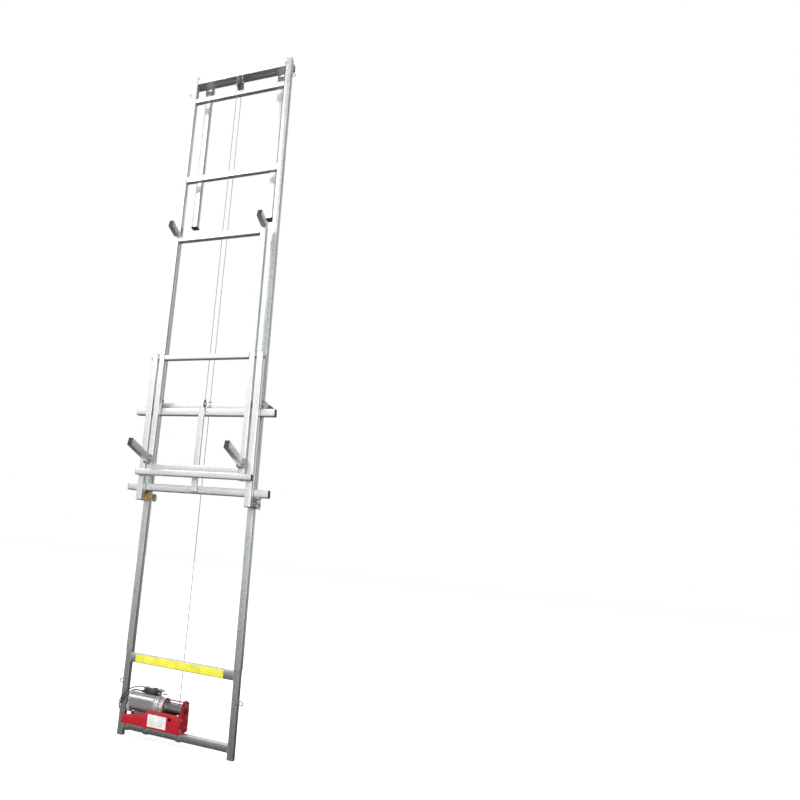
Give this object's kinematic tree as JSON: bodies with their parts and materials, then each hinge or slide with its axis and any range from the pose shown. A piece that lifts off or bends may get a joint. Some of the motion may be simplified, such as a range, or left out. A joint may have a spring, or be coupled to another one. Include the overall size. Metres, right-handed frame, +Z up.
{
  "type": "drywall lift",
  "caption": "Tall twin-rail board lift: an electric rope hoist raises a roller carriage whose tipping tray has forward arms.",
  "frame": {"origin": "on the floor, midway between the two feet of the mast", "axes": "+Z up along the mast, X across its width, -Y to the front where the tray is"},
  "size_m": [0.904, 0.7358, 4.308],
  "materials": {
    "galvanised_tube": "satin galvanised",
    "zinc_hardware": "zinc plated",
    "dark_steel": "black oxide",
    "black_plastic": "matte",
    "black_rubber": "matte",
    "red_paint": "gloss paint",
    "grey_paint": "satin paint",
    "cast_alloy": "as cast",
    "wire_rope": "stranded",
    "roller_nylon": "worn nylon",
    "cast_sheave": "machined cast iron"
  },
  "bodies": {
    "mast": {"base_leg_left": "galvanised_tube", "base_leg_right": "galvanised_tube", "rail_left": "galvanised_tube", "rail_right": "galvanised_tube", "mast_plugs": "black_plastic", "rail_splices": "zinc_hardware", "bottom_bar": "galvanised_tube", "label_bar": "galvanised_tube", "mid_bar": "galvanised_tube", "upper_bar": "galvanised_tube", "second_bar": "galvanised_tube", "top_beam": "galvanised_tube", "rear_beam": "galvanised_tube", "eye_rings": "zinc_hardware", "leg_brackets": "zinc_hardware", "pulley_bracket": "zinc_hardware", "pulley_axle": "dark_steel", "hoist_chassis": "red_paint", "hoist_side_plates": "red_paint", "motor_body": "grey_paint", "fan_cover": "grey_paint", "gear_housing": "cast_alloy", "capacitor": "black_plastic", "hoist_clamps": "zinc_hardware", "drum_shaft": "dark_steel", "rope_up": "wire_rope", "motor_lead": "black_rubber", "lead_gland": "black_rubber", "mains_lead": "black_rubber", "mains_coil": "black_rubber", "mains_plug": "black_rubber"},
    "sheave": {"sheave": "cast_sheave"},
    "drum": {"drum": "wire_rope"},
    "carriage": {"upright_left": "galvanised_tube", "upright_right": "galvanised_tube", "carriage_top_bar": "galvanised_tube", "carriage_bottom_bar": "galvanised_tube", "carriage_centre_bar": "galvanised_tube", "roller_plates": "zinc_hardware", "roller_axles": "dark_steel", "rope_eye": "dark_steel", "rope_fall": "wire_rope"},
    "rollers_top_front": {"rollers_top_front": "roller_nylon"},
    "rollers_top_rear": {"rollers_top_rear": "roller_nylon"},
    "rollers_bottom_front": {"rollers_bottom_front": "roller_nylon"},
    "rollers_bottom_rear": {"rollers_bottom_rear": "roller_nylon"},
    "tray": {"tray_post_left": "galvanised_tube", "tray_post_right": "galvanised_tube", "tray_top_bar": "galvanised_tube", "tray_mid_bar": "galvanised_tube", "tray_bottom_bar": "galvanised_tube", "tray_ledge": "galvanised_tube", "upper_arms": "galvanised_tube", "arm_lugs": "zinc_hardware", "tray_pivots": "dark_steel"},
    "arm_left": {"folding_arm_left": "galvanised_tube"},
    "arm_right": {"folding_arm_right": "galvanised_tube"},
    "leg_left": {"landing_leg_left": "galvanised_tube"},
    "leg_right": {"landing_leg_right": "galvanised_tube"}
  },
  "joints": [
    {"name": "carriage_slide", "type": "slide", "parent": "mast", "child": "carriage", "axis": [0, 0, 1], "range_m": [-0.86, 2.18], "deforming": ["rope_fall"]},
    {"name": "tray_tip", "type": "hinge", "parent": "carriage", "child": "tray", "pos_m": [0, -0.093, 2.222], "axis": [-1, 0, 0], "range_deg": [0, 98]},
    {"name": "arm_fold_left", "type": "hinge", "parent": "tray", "child": "arm_left", "pos_m": [-0.299, -0.137, 1.579], "axis": [-1, 0, 0], "range_deg": [0, 75]},
    {"name": "arm_fold_right", "type": "hinge", "parent": "tray", "child": "arm_right", "pos_m": [0.299, -0.137, 1.579], "axis": [-1, 0, 0], "range_deg": [0, 75]},
    {"name": "leg_swing_left", "type": "hinge", "parent": "mast", "child": "leg_left", "pos_m": [-0.266, 0.082, 4.215], "axis": [1, 0, 0], "range_deg": [0, 90]},
    {"name": "leg_swing_right", "type": "hinge", "parent": "mast", "child": "leg_right", "pos_m": [0.266, 0.082, 4.215], "axis": [1, 0, 0], "range_deg": [0, 90]},
    {"name": "sheave_spin", "type": "hinge", "parent": "mast", "child": "sheave", "pos_m": [0, -0.012, 4.19], "axis": [1, 0, 0], "continuous": true},
    {"name": "drum_spin", "type": "hinge", "parent": "mast", "child": "drum", "pos_m": [0, 0, 0.19], "axis": [1, 0, 0], "continuous": true},
    {"name": "roller_spin_top_front", "type": "hinge", "parent": "carriage", "child": "rollers_top_front", "pos_m": [0, -0.0423, 1.938], "axis": [1, 0, 0], "continuous": true},
    {"name": "roller_spin_top_rear", "type": "hinge", "parent": "carriage", "child": "rollers_top_rear", "pos_m": [0, 0.0423, 1.938], "axis": [1, 0, 0], "continuous": true},
    {"name": "roller_spin_bottom_front", "type": "hinge", "parent": "carriage", "child": "rollers_bottom_front", "pos_m": [0, -0.0423, 1.362], "axis": [1, 0, 0], "continuous": true},
    {"name": "roller_spin_bottom_rear", "type": "hinge", "parent": "carriage", "child": "rollers_bottom_rear", "pos_m": [0, 0.0423, 1.362], "axis": [1, 0, 0], "continuous": true}
  ],
  "couplings": [
    {"joint": "sheave_spin", "follows": "carriage_slide", "rad_per_m": -26.316},
    {"joint": "drum_spin", "follows": "carriage_slide", "rad_per_m": -38.462},
    {"joint": "roller_spin_top_front", "follows": "carriage_slide", "rad_per_m": -44.843},
    {"joint": "roller_spin_top_rear", "follows": "carriage_slide", "rad_per_m": 44.843},
    {"joint": "roller_spin_bottom_front", "follows": "carriage_slide", "rad_per_m": -44.843},
    {"joint": "roller_spin_bottom_rear", "follows": "carriage_slide", "rad_per_m": 44.843}
  ]
}
